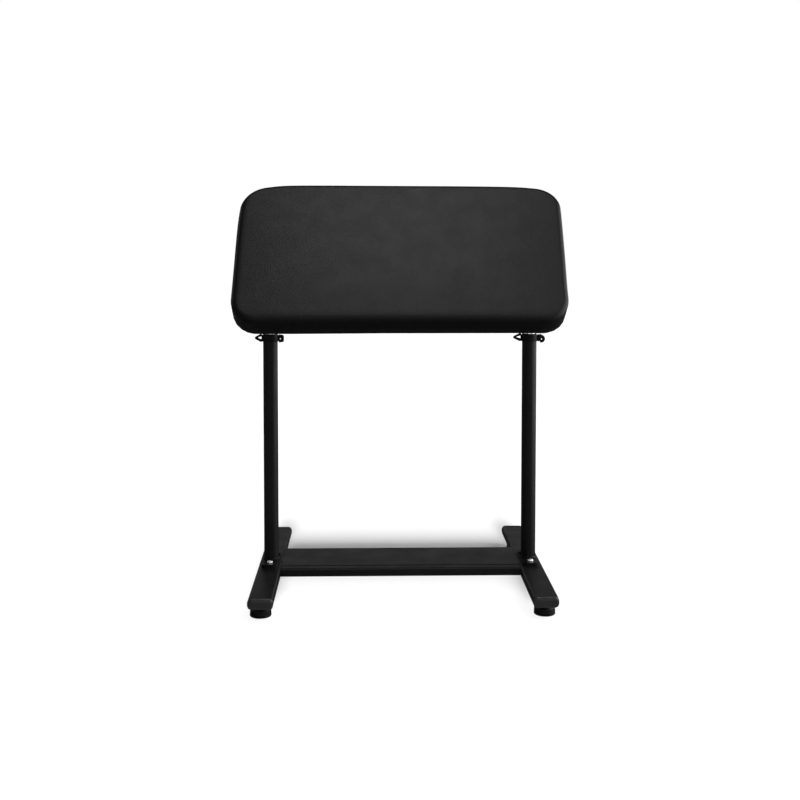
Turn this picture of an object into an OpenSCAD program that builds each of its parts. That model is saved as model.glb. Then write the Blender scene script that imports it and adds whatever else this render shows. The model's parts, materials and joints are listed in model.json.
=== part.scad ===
// Two-post arm rest stand with an upholstered tilting pad.
// Millimetres. +X right, +Y towards the back, +Z up.
// The origin is on the floor, at the middle of the footprint.

/* [Pad] */
// Width of the upholstered pad, along X
pad_w = 591; // [500:1:650]
// Depth of the pad, across the tilt axis
pad_d = 289; // [220:1:320]
// How far the pad's middle sits in front of the tilt axis
pad_fwd = 3; // [0:0.5:8]
// Overall thickness of the pad
pad_t = 60; // [50:1:75]
// Corner radius of the pad in plan
pad_r = 50; // [50:1:95]
// Radius rolled over the sitting edge by the foam
pad_edge_r = 14; // [10:1:30]
// Thickness of the plywood board
board_t = 12; // [9:1:15]
// Thickness of the vinyl cover
cover_t = 1.2; // [0.8:0.1:2]
// Tilt of the pad as stored, rear edge up
pad_tilt = 55.5; // [0:0.1:70]

/* [Posts] */
// Distance between the two post axes
post_gap = 480; // [440:5:500]
// Outer diameter of the fixed posts
post_od = 27; // [25:0.5:30]
// Wall of the fixed posts
post_wall = 1.5; // [1.2:0.1:2]
// Height of the fixed posts' rim above the floor
rim_z = 464; // [380:1:520]
// Outer diameter of the chromed inner tubes
tube_od = 22.2; // [22:0.1:22.4]
// Height of the tilt axis above the floor
pivot_z = 578; // [560:1:700]

/* [Base] */
// Overall length of each leg with its end caps
leg_len = 493; // [440:1:560]
// Width of the leg tube
leg_w = 41; // [36:1:44]
// Height of the leg tube
leg_h = 18; // [17:1:22]
// How far the posts stand in front of the legs' middle
post_back = 6.5; // [0:0.5:10]
// Depth of the crossbar, front to back
bar_d = 144; // [125:1:150]
// Thickness of the crossbar
bar_t = 15.5; // [14:0.5:16]
// How far the crossbar's middle sits behind the post axes
bar_y = 14; // [8:0.5:16]
// Length of the plate at the foot of each post
plate_len = 100; // [96:1:104]

/* [Feet] */
// Diameter of the levelling feet
foot_d = 37; // [30:1:38]
// Height of a foot's disc
foot_h = 15; // [12:1:16]
// Distance of the feet from the middle of the leg
foot_y = 205; // [180:1:210]
// How far the feet sit outwards of the legs' middle line
foot_x = 2.5; // [0:0.5:4]

/* [Clamps] */
// Height of the clamp collar at the top of each post
collar_h = 12.5; // [11:0.5:14]
// How much further out the right post's eye screw stands
eye_out = 4.5; // [4:0.1:6]

/* [Hidden] */

$fn = 96;
eps = 0.01;
px = post_gap / 2;
py = -post_back;

// Leg tube
leg_wall = 1.5;
leg_r = 2.5;
leg_top = 41;
leg_mid = leg_top - leg_h / 2;
leg_bot = leg_top - leg_h;
cap_t = 5;
leg_tube_len = leg_len - 2 * cap_t;

// Crossbar
bar_wall = 1.5;
bar_len = post_gap - leg_w;
bar_z = leg_top - bar_t / 2;
bar_bolt_y = [-15, 55];
bar_bolt_z = leg_mid;
bar_bolt_r = 3;
bar_head_x = px - leg_w / 2 + leg_wall;
access_r = 5.6;

// Post plate
plate_w = 31;
plate_t = 5;
plate_top = leg_top + plate_t;
screw_y = 34;
side_x = 12.2;
side_y = 14.4;

// Post, bush and collar
post_r = post_od / 2;
post_ir = post_r - post_wall;
tube_r = tube_od / 2;
tube_ir = tube_r - 1.2;
bush_ir = tube_r + 0.05;
bush_or = post_ir - 0.05;
collar_r = post_r + 1.6;
collar_z = rim_z - 0.8 - collar_h;
clamp_z = collar_z + collar_h / 2;

// Inner tube and its head
tube_bot = 130;
tube_top = pivot_z - 30;
head_w = 10;
head_r = 12;

// Tilt bracket, pad frame has its origin on the tilt axis
bolt_r = 4;
pad_under = 30;
brk_t = 3;
cheek_in = head_w / 2 + 1.4;
cheek_out = cheek_in + brk_t;
brk_w = 64;
brk_d = 78;
brk_screw_x = 23;
brk_screw_y = 29;
board_z = pad_under + cover_t;
foam_z = board_z + board_t;

black_steel = [0.07, 0.07, 0.075];
black_plastic = [0.04, 0.04, 0.045];
vinyl = [0.11, 0.11, 0.12];
chrome_c = [0.8, 0.8, 0.82];

// ---------------------------------------------------------------- shapes

// Rectangle with round corners, centred
module rr(w, h, r) {
    square([w - 2 * r, h], center = true);
    square([w, h - 2 * r], center = true);
    for (sx = [-1, 1], sy = [-1, 1])
        translate([sx * (w / 2 - r), sy * (h / 2 - r)]) circle(r);
}

// Half section of a round corner boss: plan radius r, thickness t,
// top edge rolled to rt, bottom edge to rb
function boss_profile(r, t, rt, rb, n) = concat(
    [[0, 0]],
    [for (i = [0 : n]) let (a = -90 + 90 * i / n) [r - rb + rb * cos(a), rb + rb * sin(a)]],
    [for (i = [0 : n]) let (a = 90 * i / n) [r - rt + rt * cos(a), t - rt + rt * sin(a)]],
    [[0, t]]);

// Slab with round corners in plan and rolled edges, resting on z = 0
module soft_slab(w, d, t, r, rt, rb, seg = 40, n = 7) {
    hull()
        for (sx = [-1, 1], sy = [-1, 1])
            translate([sx * (w / 2 - r), sy * (d / 2 - r), 0])
                rotate_extrude($fn = seg) polygon(boss_profile(r, t, rt, rb, n));
}

module tube(h, ro, ri) {
    difference() {
        cylinder(h = h, r = ro);
        translate([0, 0, -1]) cylinder(h = h + 2, r = ri);
    }
}

// Cylinder along X, from x0 to x1
module xcyl(x0, x1, r) {
    translate([x0, 0, 0]) rotate([0, 90, 0]) cylinder(h = x1 - x0, r = r);
}

// Places its children in the pad's own frame, tilted about the axis
module tilted() {
    translate([0, py, pivot_z]) rotate([pad_tilt, 0, 0]) children();
}

// Domed button head, resting on z = 0, with a hexagon socket
module button_head(r, h, socket) {
    difference() {
        rotate_extrude() polygon(concat([[0, 0]],
            [for (i = [0 : 8]) let (a = 80 * i / 8) [r * cos(a * 0.9) , h * sin(a) / sin(80)]],
            [[0, h]]));
        translate([0, 0, h * 0.35]) cylinder(h = h, r = socket, $fn = 6);
    }
}

// High smooth domed head, resting on z = 0
module dome_head(r, h) {
    rotate_extrude() polygon(concat([[0, 0], [r, 0]],
        [for (i = [0 : 10]) let (a = 8.7 * i) [r * cos(a), 1 + (h - 1) * sin(a)]],
        [[0, h]]));
}

// ---------------------------------------------------------------- base

module leg(side) {
    color(black_steel)
    translate([side * px, 0, 0])
    difference() {
        translate([0, 0, leg_mid]) rotate([90, 0, 0]) difference() {
            linear_extrude(leg_tube_len, center = true) rr(leg_w, leg_h, leg_r);
            linear_extrude(leg_tube_len + 2, center = true)
                rr(leg_w - 2 * leg_wall, leg_h - 2 * leg_wall, leg_r - leg_wall);
        }
        for (s = [-1, 1]) {
            translate([0, py + s * screw_y, leg_top - 4]) cylinder(h = 6, r = 4.55);
            translate([side * foot_x, s * foot_y, leg_bot - 2]) cylinder(h = 5, r = 6.05);
            translate([s * side_x, py + side_y, leg_top - 4]) cylinder(h = 6, r = 2.1);
        }
        for (y = bar_bolt_y)
            translate([0, y, bar_bolt_z]) mirror([side < 0 ? 1 : 0, 0, 0]) {
                xcyl(-leg_w, 0, bar_bolt_r + 0.2);
                xcyl(0, leg_w, access_r);
            }
    }
}

// One end cap: a rounded nose and a hollow plug inside the leg tube
module end_cap(side, end) {
    translate([side * px, 0, leg_mid])
    mirror([0, end < 0 ? 1 : 0, 0])
    translate([0, leg_tube_len / 2, 0]) {
        rotate([-90, 0, 0]) soft_slab(leg_w + 2.4, leg_h + 1.2, cap_t, 8, 4.4, 0.4, 32, 5);
        rotate([-90, 0, 0]) translate([0, 0, -14]) difference() {
            linear_extrude(14.2) rr(leg_w - 2 * leg_wall - 0.2, leg_h - 2 * leg_wall - 0.2, 2.3);
            translate([0, 0, -1]) linear_extrude(13) rr(leg_w - 2 * leg_wall - 4, leg_h - 2 * leg_wall - 4, 1.2);
        }
    }
}

module front_end_caps() {
    color(black_plastic) for (s = [-1, 1]) end_cap(s, -1);
}
module rear_end_caps() {
    color(black_plastic) for (s = [-1, 1]) end_cap(s, 1);
}

module crossbar() {
    color(black_steel)
    translate([0, py + bar_y, bar_z]) rotate([0, 90, 0]) difference() {
        linear_extrude(bar_len, center = true) rr(bar_t, bar_d, 3.5);
        linear_extrude(bar_len + 2, center = true) rr(bar_t - 2 * bar_wall, bar_d - 2 * bar_wall, 2);
        // shallow groove along the front of the top face
        translate([-bar_t / 2 - 0.4, -bar_d / 2 + 19, 0]) cube([2.6, 4, bar_len + 2], center = true);
    }
}

// Threaded blocks fixed inside the ends of the crossbar
module bar_end_blocks() {
    color(chrome_c)
    for (s = [-1, 1])
        difference() {
            translate([s * (bar_len / 2 - 12), py + bar_y, bar_z])
                rotate([0, 90, 0]) linear_extrude(22, center = true)
                    rr(bar_t - 2 * bar_wall, bar_d - 2 * bar_wall, 2);
            for (y = bar_bolt_y)
                translate([s * bar_len / 2, y, bar_bolt_z]) xcyl(-30, 30, bar_bolt_r + 0.05);
        }
}

// Their heads sit inside the legs, reached through holes in the outer sides
module bar_bolts() {
    color(black_steel)
    for (s = [-1, 1], y = bar_bolt_y)
        translate([s * (bar_head_x + 1.2), y, bar_bolt_z]) rotate([0, s * 90, 0]) {
            button_head(5.2, 3.3, 2.1);
            translate([0, 0, -22]) cylinder(h = 22 + eps, r = bar_bolt_r);
        }
}

module bar_bolt_washers() {
    color(black_steel)
    for (s = [-1, 1], y = bar_bolt_y)
        translate([s * bar_head_x, y, bar_bolt_z]) rotate([0, s * 90, 0])
            tube(1.2, 5.4, bar_bolt_r + 0.2);
}

// Push-in plugs that close the access holes
module leg_hole_plugs() {
    color(black_plastic)
    for (s = [-1, 1], y = bar_bolt_y)
        translate([s * (px + leg_w / 2), y, bar_bolt_z]) rotate([0, s * 90, 0]) {
            rotate_extrude() polygon([[0, 0], [access_r + 0.7, 0], [access_r + 0.7, 0.25], [access_r + 0.3, 0.55], [0, 0.6]]);
            translate([0, 0, -6]) tube(6 + eps, access_r - 0.1, access_r - 1.3);
        }
}

module base_plate(side) {
    color(black_steel)
    translate([side * px, py, leg_top]) difference() {
        union() {
            linear_extrude(plate_t - 1) rr(plate_w, plate_len, 10);
            translate([0, 0, plate_t - 1]) linear_extrude(1) rr(plate_w - 1.6, plate_len - 1.6, 9.2);
        }
        for (s = [-1, 1]) {
            translate([0, s * screw_y, -1]) cylinder(h = plate_t + 2, r = 3.3);
            translate([s * side_x, side_y, -1]) cylinder(h = plate_t + 2, r = 2.1);
        }
    }
}

module plate_screws() {
    color(chrome_c)
    for (sx = [-1, 1], sy = [-1, 1])
        translate([sx * px, py + sy * screw_y, plate_top]) {
            dome_head(5.4, 5);
            translate([0, 0, -16]) cylinder(h = 16 + eps, r = 3);
        }
}

// Small black cap screws behind each post, either side
module plate_side_screws() {
    color(black_steel)
    for (sx = [-1, 1], s = [-1, 1])
        translate([sx * px + s * side_x, py + side_y, plate_top]) difference() {
            union() {
                rotate_extrude() polygon([[0, 0], [2.8, 0], [2.8, 4.4], [2.4, 4.8], [0, 4.8]]);
                translate([0, 0, -12]) cylinder(h = 12 + eps, r = 2);
            }
            translate([0, 0, 2.4]) cylinder(h = 5, r = 1.6, $fn = 6);
        }
}

module plate_rivet_nuts() {
    color(chrome_c)
    for (sx = [-1, 1], sy = [-1, 1])
        translate([sx * px, py + sy * screw_y, leg_top - 13]) {
            tube(13, 4.5, 3.05);
            translate([0, 0, 9]) tube(2.4, 6.4, 4.4);
        }
}

module post(side) {
    color(black_steel)
    translate([side * px, py, 0]) difference() {
        union() {
            translate([0, 0, plate_top]) cylinder(h = rim_z - plate_top, r = post_r);
            // weld bead at the foot
            translate([0, 0, plate_top]) rotate_extrude()
                polygon([[post_r - 1, 0], [post_r + 2, 0], [post_r + 1.5, 0.8], [post_r + 0.8, 1.5], [post_r, 2], [post_r - 1, 2]]);
        }
        translate([0, 0, plate_top - 1]) cylinder(h = rim_z, r = post_ir);
        translate([0, 0, clamp_z]) xcyl(-30, 30, 4.3);
    }
}

// Sleeve round the top of the post, tapped on both sides for the clamp screws
module post_collar(side) {
    color(black_plastic)
    translate([side * px, py, 0]) difference() {
        translate([0, 0, collar_z]) rotate_extrude() polygon([
            [post_r + 0.02, 0], [collar_r - 0.6, 0], [collar_r, 0.6],
            [collar_r, collar_h - 0.6], [collar_r - 0.6, collar_h], [post_r + 0.02, collar_h]]);
        translate([0, 0, clamp_z]) xcyl(-30, 30, 4.05);
    }
}

module post_bush(side) {
    color([0.12, 0.12, 0.12])
    translate([side * px, py, rim_z]) rotate_extrude() polygon([
        [bush_ir, -45], [bush_or, -45], [bush_or, 0], [post_r - 0.2, 0],
        [post_r - 0.2, 0.4], [post_r - 0.6, 0.8], [bush_ir, 0.8]]);
}

module foot_inserts() {
    color(chrome_c)
    for (sx = [-1, 1], sy = [-1, 1])
        translate([sx * (px + foot_x), sy * foot_y, leg_bot]) {
            tube(13, 6, 4.06);
            translate([0, 0, leg_wall]) tube(2.4, 8, 5.9);
        }
}

// ---------------------------------------------------------------- feet

module foot(sx, sy) {
    color(black_plastic)
    translate([sx * (px + foot_x), sy * foot_y, 0]) rotate_extrude() polygon(concat(
        [[0, 0], [foot_d / 2 - 3, 0]],
        [for (i = [1 : 6]) let (a = -90 + 15 * i) [foot_d / 2 - 3 + 3 * cos(a), 3 + 3 * sin(a)]],
        // two grip grooves
        [for (i = [0 : 1], q = [[0, 0], [1.4, 0.4], [1.4, 1.5], [0, 1.9]])
            [foot_d / 2 - 0.2 * (i + 1) - q[0], 3.6 + 4.4 * i + q[1]]],
        [[foot_d / 2 - 0.6, foot_h - 3], [foot_d / 2 - 3.4, foot_h - 0.4], [foot_d / 2 - 5, foot_h], [10.4, foot_h], [10.4, foot_h - 5], [0, foot_h - 5]]));
}

// Levelling stud with its hexagon collar seated in the foot
module foot_stud(sx, sy) {
    color(chrome_c)
    translate([sx * (px + foot_x), sy * foot_y, foot_h - 5]) {
        cylinder(h = 4.6, r = 9.4, $fn = 6);
        cylinder(h = 27.5, r = 4);
    }
}

// ---------------------------------------------------------------- clamps

// Screw with an open triangular loop for the fingers; outwards is +X
module loop_screw() {
    color(black_plastic) {
        xcyl(bush_or + 0.35, 16.4, 4);
        rotate([90, 0, 0]) linear_extrude(5, center = true) difference() {
            hull() {
                translate([17.1, 4.9]) circle(1.8, $fn = 32);
                translate([17.1, -4.9]) circle(1.8, $fn = 32);
                translate([26, 0]) circle(2.5, $fn = 32);
            }
            hull() {
                translate([18, 2.2]) circle(0.9, $fn = 32);
                translate([18, -2.2]) circle(0.9, $fn = 32);
                translate([22.2, 0]) circle(0.9, $fn = 32);
            }
        }
    }
}

// Screw with a flat eye; out is how far it stands away from the collar
module eye_screw(out) {
    color(black_plastic) {
        xcyl(bush_or + 0.35, 15.8 + out, 4);
        translate([out, 0, 0]) rotate([90, 0, 0]) linear_extrude(5, center = true) difference() {
            union() {
                intersection() {
                    translate([18.3, -2]) circle(6.5);
                    translate([15.4, -10]) square([20, 20]);
                }
                translate([15.4, -6]) square([2.6, 10.4]);
            }
            translate([18.6, -2]) circle(1.9);
        }
    }
}

module left_loop_clamp_screw() { translate([-px, py, clamp_z]) mirror([1, 0, 0]) loop_screw(); }
module left_eye_clamp_screw() { translate([-px, py, clamp_z]) eye_screw(0); }
module right_loop_clamp_screw() { translate([px, py, clamp_z]) mirror([1, 0, 0]) loop_screw(); }
module right_eye_clamp_screw() { translate([px, py, clamp_z]) eye_screw(eye_out); }

// Lock nut that holds the right eye screw out from the collar
module right_eye_jam_nut() {
    color(black_plastic)
    translate([px + 15.4, py, clamp_z]) rotate([0, 90, 0]) difference() {
        cylinder(h = eye_out - 0.3, r = 6.6, $fn = 6);
        translate([0, 0, -1]) cylinder(h = 20, r = 4.03);
    }
}

// ---------------------------------------------------------------- inner tubes

module inner_tube(side) {
    color(chrome_c)
    translate([side * px, py, 0]) difference() {
        translate([0, 0, tube_bot]) tube(tube_top - tube_bot, tube_r, tube_ir);
        translate([0, 0, tube_top - 14]) rotate([90, 0, 0]) cylinder(h = 40, r = 2.02, center = true);
    }
}

// Plug in the tube's top with the tongue that carries the tilt bolt
module tube_head(side) {
    color([0.55, 0.56, 0.58])
    translate([side * px, py, 0]) difference() {
        union() {
            translate([0, 0, tube_top - 28]) cylinder(h = 28 + eps, r = tube_ir - 0.02);
            translate([0, 0, tube_top]) cylinder(h = 5, r = tube_r);
            translate([-head_w / 2, -head_r, tube_top + 5 - eps]) intersection() {
                cube([head_w, 2 * head_r, pivot_z - tube_top - 5 + eps]);
                translate([head_w / 2, head_r, -1]) cylinder(h = 60, r = head_r);
            }
            translate([0, 0, pivot_z]) xcyl(-head_w / 2, head_w / 2, head_r);
        }
        translate([0, 0, pivot_z]) xcyl(-20, 20, bolt_r + 0.05);
        translate([0, 0, tube_top - 14]) rotate([90, 0, 0]) cylinder(h = 40, r = 2.02, center = true);
    }
}

module head_roll_pins() {
    color(chrome_c)
    for (s = [-1, 1]) translate([s * px, py, tube_top - 14]) rotate([90, 0, 0])
        difference() {
            cylinder(h = 2 * tube_r - 0.6, r = 2, center = true);
            cylinder(h = 60, r = 1, center = true);
        }
}

module tube_glide_rings() {
    color([0.85, 0.85, 0.82])
    for (s = [-1, 1]) translate([s * px, py, tube_bot + 3])
        tube(14, post_ir - 0.07, tube_r + 0.01);
}

// ---------------------------------------------------------------- tilt hardware

module tilt_bracket(side) {
    color(black_steel)
    tilted() translate([side * px, 0, 0]) difference() {
        union() {
            translate([0, 0, pad_under - brk_t]) linear_extrude(brk_t) rr(brk_w, brk_d, 8);
            for (s = [-1, 1]) {
                translate([s * (cheek_in + brk_t / 2), 0, 0]) {
                    xcyl(-brk_t / 2, brk_t / 2, 14);
                    translate([-brk_t / 2, -14, 0]) cube([brk_t, 28, pad_under - brk_t + eps]);
                    // flared gusset up to the plate
                    rotate([90, 0, 90]) linear_extrude(brk_t, center = true)
                        polygon([[-14, 6], [-26, pad_under - brk_t + eps], [26, pad_under - brk_t + eps], [14, 6]]);
                }
                // weld fillet outside each cheek
                translate([s * cheek_out, -24, pad_under - brk_t]) rotate([0, s > 0 ? 90 : 180, 0]) rotate([-90, 0, 0])
                    linear_extrude(48) polygon([[0, 0], [2.4, 0], [0, 2.4]]);
            }
        }
        xcyl(-20, 20, bolt_r + 0.1);
        for (x = [-1, 1], y = [-1, 1])
            translate([x * brk_screw_x, y * brk_screw_y, pad_under - brk_t - 1]) cylinder(h = brk_t + 2, r = 3.3);
    }
}

// Tilt bolt: head on the inner side, the knob's thread on the outer side
module tilt_bolt(side) {
    color(chrome_c)
    translate([side * px, py, pivot_z]) mirror([side > 0 ? 1 : 0, 0, 0]) {
        xcyl(-28, cheek_out + 1.5, bolt_r);
        translate([cheek_out + 0.1, 0, 0]) rotate([pad_tilt, 0, 0]) rotate([0, 90, 0]) cylinder(h = 5.4, r = 7.4, $fn = 6);
    }
}

// Fibre washers each side of the tongue
module friction_washers() {
    color([0.5, 0.42, 0.3])
    for (side = [-1, 1], s = [-1, 1])
        translate([side * px + s * (head_w / 2 + 0.72), py, pivot_z])
            rotate([0, 90, 0]) translate([0, 0, -0.64]) tube(1.28, 11, bolt_r + 0.1);
}

module knob_washers() {
    color(chrome_c)
    for (side = [-1, 1])
        translate([side * px, py, pivot_z]) mirror([side < 0 ? 1 : 0, 0, 0])
            translate([cheek_out + 0.1, 0, 0]) rotate([0, 90, 0]) tube(1.5, 8.5, bolt_r + 0.1);
}

// Star knob on the outer side of each bracket
module tilt_knob(side) {
    color(black_plastic)
    translate([side * px, py, pivot_z]) mirror([side < 0 ? 1 : 0, 0, 0])
    translate([cheek_out + 1.9, 0, 0]) rotate([0, 90, 0]) difference() {
        union() {
            cylinder(h = 8, r = 10.5);
            translate([0, 0, 6]) linear_extrude(15) union() {
                circle(16);
                for (i = [0 : 5]) rotate(60 * i) translate([15, 0]) circle(4.6);
            }
            translate([0, 0, 21 - eps]) rotate_extrude() polygon([[0, 0], [14, 0], [12, 1.6], [8, 2.4], [0, 2.6]]);
        }
        translate([0, 0, -1]) cylinder(h = 16, r = 6.52);
        translate([0, 0, 14]) cylinder(h = 5, r = 4.6);
    }
}

module knob_insert(side) {
    color([0.72, 0.58, 0.3])
    translate([side * px, py, pivot_z]) mirror([side < 0 ? 1 : 0, 0, 0])
    translate([cheek_out + 1.9, 0, 0]) rotate([0, 90, 0]) tube(15, 6.5, bolt_r + 0.05);
}

module bracket_screws() {
    color(chrome_c)
    tilted() for (side = [-1, 1], x = [-1, 1], y = [-1, 1])
        translate([side * px + x * brk_screw_x, y * brk_screw_y, pad_under - brk_t]) {
            mirror([0, 0, 1]) button_head(5.6, 3.4, 2);
            translate([0, 0, -eps]) cylinder(h = 15.5, r = 3);
        }
}

// Prong nuts let into the top of the board
module tee_nuts() {
    color(chrome_c)
    tilted() for (side = [-1, 1], x = [-1, 1], y = [-1, 1])
        translate([side * px + x * brk_screw_x, y * brk_screw_y, 0]) {
            translate([0, 0, foam_z - 9]) tube(9.2, 3.9, 3.05);
            translate([0, 0, foam_z]) tube(1.2, 9, 3.05);
        }
}

// ---------------------------------------------------------------- pad

// Outline of the underside's opening in the cover
module under_opening(grow = 0) {
    rr(pad_w - 48 + 2 * grow, pad_d - 48 + 2 * grow, pad_r - 24 + grow);
}

module pad_board() {
    color([0.72, 0.58, 0.4])
    tilted() translate([0, 0, board_z]) difference() {
        translate([0, -pad_fwd, 0]) linear_extrude(board_t) rr(pad_w - 2 * cover_t - 0.6, pad_d - 2 * cover_t - 0.6, pad_r - cover_t - 0.3);
        for (side = [-1, 1], x = [-1, 1], y = [-1, 1])
            translate([side * px + x * brk_screw_x, y * brk_screw_y, -1]) cylinder(h = board_t + 2, r = 3.95);
    }
}

// Inside of the cover, down to the board
module cover_inside() {
    translate([0, 0, board_z])
        soft_slab(pad_w - 2 * cover_t, pad_d - 2 * cover_t, pad_t - 2 * cover_t,
            pad_r - cover_t, pad_edge_r - cover_t, 0.05);
}

module pad_foam() {
    color([0.9, 0.86, 0.7])
    tilted() difference() {
        intersection() {
            translate([0, -pad_fwd, 0]) soft_slab(pad_w - 2 * cover_t - 0.2, pad_d - 2 * cover_t - 0.2,
                pad_under + pad_t - cover_t - 0.1, pad_r - cover_t - 0.1, pad_edge_r - cover_t, 1);
            translate([-pad_w, -pad_d, foam_z]) cube([2 * pad_w, 2 * pad_d, pad_t]);
        }
        for (side = [-1, 1], x = [-1, 1], y = [-1, 1])
            translate([side * px + x * brk_screw_x, y * brk_screw_y, foam_z - 1]) cylinder(h = 2.4, r = 9.3);
    }
}

module pad_cover() {
    color(vinyl)
    tilted() translate([0, -pad_fwd, 0]) difference() {
        translate([0, 0, pad_under]) soft_slab(pad_w, pad_d, pad_t, pad_r, pad_edge_r, 3);
        cover_inside();
        translate([0, 0, pad_under - 5]) linear_extrude(10) under_opening();
    }
}

// Woven dust cover under the board, cut out round the bracket screws
module dust_cover() {
    color([0.03, 0.03, 0.03])
    tilted() translate([0, 0, pad_under + 0.2]) difference() {
        translate([0, -pad_fwd, 0]) linear_extrude(cover_t - 0.25) under_opening(-0.5);
        for (side = [-1, 1], x = [-1, 1], y = [-1, 1])
            translate([side * px + x * brk_screw_x, y * brk_screw_y, -1]) cylinder(h = 5, r = 3.5);
    }
}

// Staples that hold the cover to the underside of the board
module staples() {
    color(chrome_c)
    tilted() translate([0, -pad_fwd, 0]) {
        for (sy = [-1, 1], i = [-6 : 6])
            translate([i * 33, sy * (pad_d / 2 - 15), pad_under - 0.25]) cube([10, 1.2, 0.5], center = true);
        for (sx = [-1, 1], i = [-2 : 2])
            translate([sx * (pad_w / 2 - 15), i * 27, pad_under - 0.25]) cube([1.2, 10, 0.5], center = true);
    }
}

// ---------------------------------------------------------------- nodes

leg(-1);  // left_leg
leg(1);  // right_leg
front_end_caps();
rear_end_caps();
crossbar();
bar_end_blocks();
bar_bolts();
bar_bolt_washers();
leg_hole_plugs();
base_plate(-1);  // left_base_plate
base_plate(1);  // right_base_plate
plate_screws();
plate_side_screws();
plate_rivet_nuts();
post(-1);  // left_post
post(1);  // right_post
post_collar(-1);  // left_post_collar
post_collar(1);  // right_post_collar
post_bush(-1);  // left_post_bush
post_bush(1);  // right_post_bush
foot_inserts();
foot(-1, -1);  // front_left_foot
foot(1, -1);  // front_right_foot
foot(-1, 1);  // rear_left_foot
foot(1, 1);  // rear_right_foot
foot_stud(-1, -1);  // front_left_foot_stud
foot_stud(1, -1);  // front_right_foot_stud
foot_stud(-1, 1);  // rear_left_foot_stud
foot_stud(1, 1);  // rear_right_foot_stud
left_loop_clamp_screw();
left_eye_clamp_screw();
right_loop_clamp_screw();
right_eye_clamp_screw();
right_eye_jam_nut();
inner_tube(-1);  // left_inner_tube
inner_tube(1);  // right_inner_tube
tube_head(-1);  // left_tube_head
tube_head(1);  // right_tube_head
head_roll_pins();
tube_glide_rings();
tilt_bracket(-1);  // left_tilt_bracket
tilt_bracket(1);  // right_tilt_bracket
tilt_bolt(-1);  // left_tilt_bolt
tilt_bolt(1);  // right_tilt_bolt
friction_washers();
knob_washers();
bracket_screws();
tee_nuts();
pad_board();
pad_foam();
pad_cover();
dust_cover();
staples();
tilt_knob(-1);  // left_tilt_knob
tilt_knob(1);  // right_tilt_knob
knob_insert(-1);  // left_knob_insert
knob_insert(1);  // right_knob_insert
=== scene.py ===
import bpy
import json
import math
import random
import numpy as np
from mathutils import Vector, Matrix, noise

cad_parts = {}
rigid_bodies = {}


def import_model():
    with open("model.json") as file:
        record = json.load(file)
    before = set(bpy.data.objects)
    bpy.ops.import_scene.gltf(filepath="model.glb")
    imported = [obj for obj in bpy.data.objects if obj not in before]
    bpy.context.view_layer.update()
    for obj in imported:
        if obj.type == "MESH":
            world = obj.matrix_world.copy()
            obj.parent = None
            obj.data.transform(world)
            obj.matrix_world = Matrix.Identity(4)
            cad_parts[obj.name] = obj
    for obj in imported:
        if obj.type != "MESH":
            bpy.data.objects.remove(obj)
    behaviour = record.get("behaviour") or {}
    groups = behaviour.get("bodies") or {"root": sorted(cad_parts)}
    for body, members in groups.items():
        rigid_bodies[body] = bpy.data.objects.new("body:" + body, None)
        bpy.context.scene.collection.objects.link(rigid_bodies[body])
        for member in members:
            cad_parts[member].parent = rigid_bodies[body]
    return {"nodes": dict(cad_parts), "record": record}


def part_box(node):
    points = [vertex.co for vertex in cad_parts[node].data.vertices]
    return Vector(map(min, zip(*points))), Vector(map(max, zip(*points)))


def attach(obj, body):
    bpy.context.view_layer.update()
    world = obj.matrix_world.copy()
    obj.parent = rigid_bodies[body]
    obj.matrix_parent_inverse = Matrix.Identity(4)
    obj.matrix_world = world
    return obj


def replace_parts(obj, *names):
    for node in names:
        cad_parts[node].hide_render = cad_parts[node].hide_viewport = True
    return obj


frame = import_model()
bpy.context.view_layer.update()
nodes = frame["nodes"]
scene = bpy.context.scene
random.seed(7)

# Driving figures of the stand, in metres
PX = 0.240            # post axes
PY = -0.0065
PIVOT = 0.578         # tilt axis height
TILT = math.radians(55.5)
PAD_W, PAD_D, PAD_T = 0.5918, 0.289, 0.060
PAD_FWD = 0.003       # the pad's middle sits this far ahead of the tilt axis
PAD_UNDER = 0.030
CLAMP_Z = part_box("left_post_collar")[0].z + 0.00625
PLATE_TOP = 0.046
FOOT_X, FOOT_Y = 0.2425, 0.205

PAD_M = Matrix.Translation((0, PY, PIVOT)) @ Matrix.Rotation(TILT, 4, "X")


# ------------------------------------------------------------------ camera
cam_data = bpy.data.cameras.new("camera")
cam = bpy.data.objects.new("camera", cam_data)
scene.collection.objects.link(cam)
cam_data.sensor_width = 36.0
cam_data.lens = 54.0
cam_data.shift_y = -0.13225
cam_data.clip_start, cam_data.clip_end = 0.05, 60.0
yaw, pitch, roll = 0.0254686, 0.0524625, 0.000582
fwd = Vector((math.sin(yaw) * math.cos(pitch), math.cos(yaw) * math.cos(pitch), -math.sin(pitch)))
right = fwd.cross(Vector((0, 0, 1))).normalized()
up = right.cross(fwd)
r2 = right * math.cos(roll) + up * math.sin(roll)
u2 = up * math.cos(roll) - right * math.sin(roll)
cam.matrix_world = Matrix((
    (r2.x, u2.x, -fwd.x, -0.0568575),
    (r2.y, u2.y, -fwd.y, -2.2227652),
    (r2.z, u2.z, -fwd.z, 0.6544239),
    (0, 0, 0, 1)))
scene.camera = cam


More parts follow.
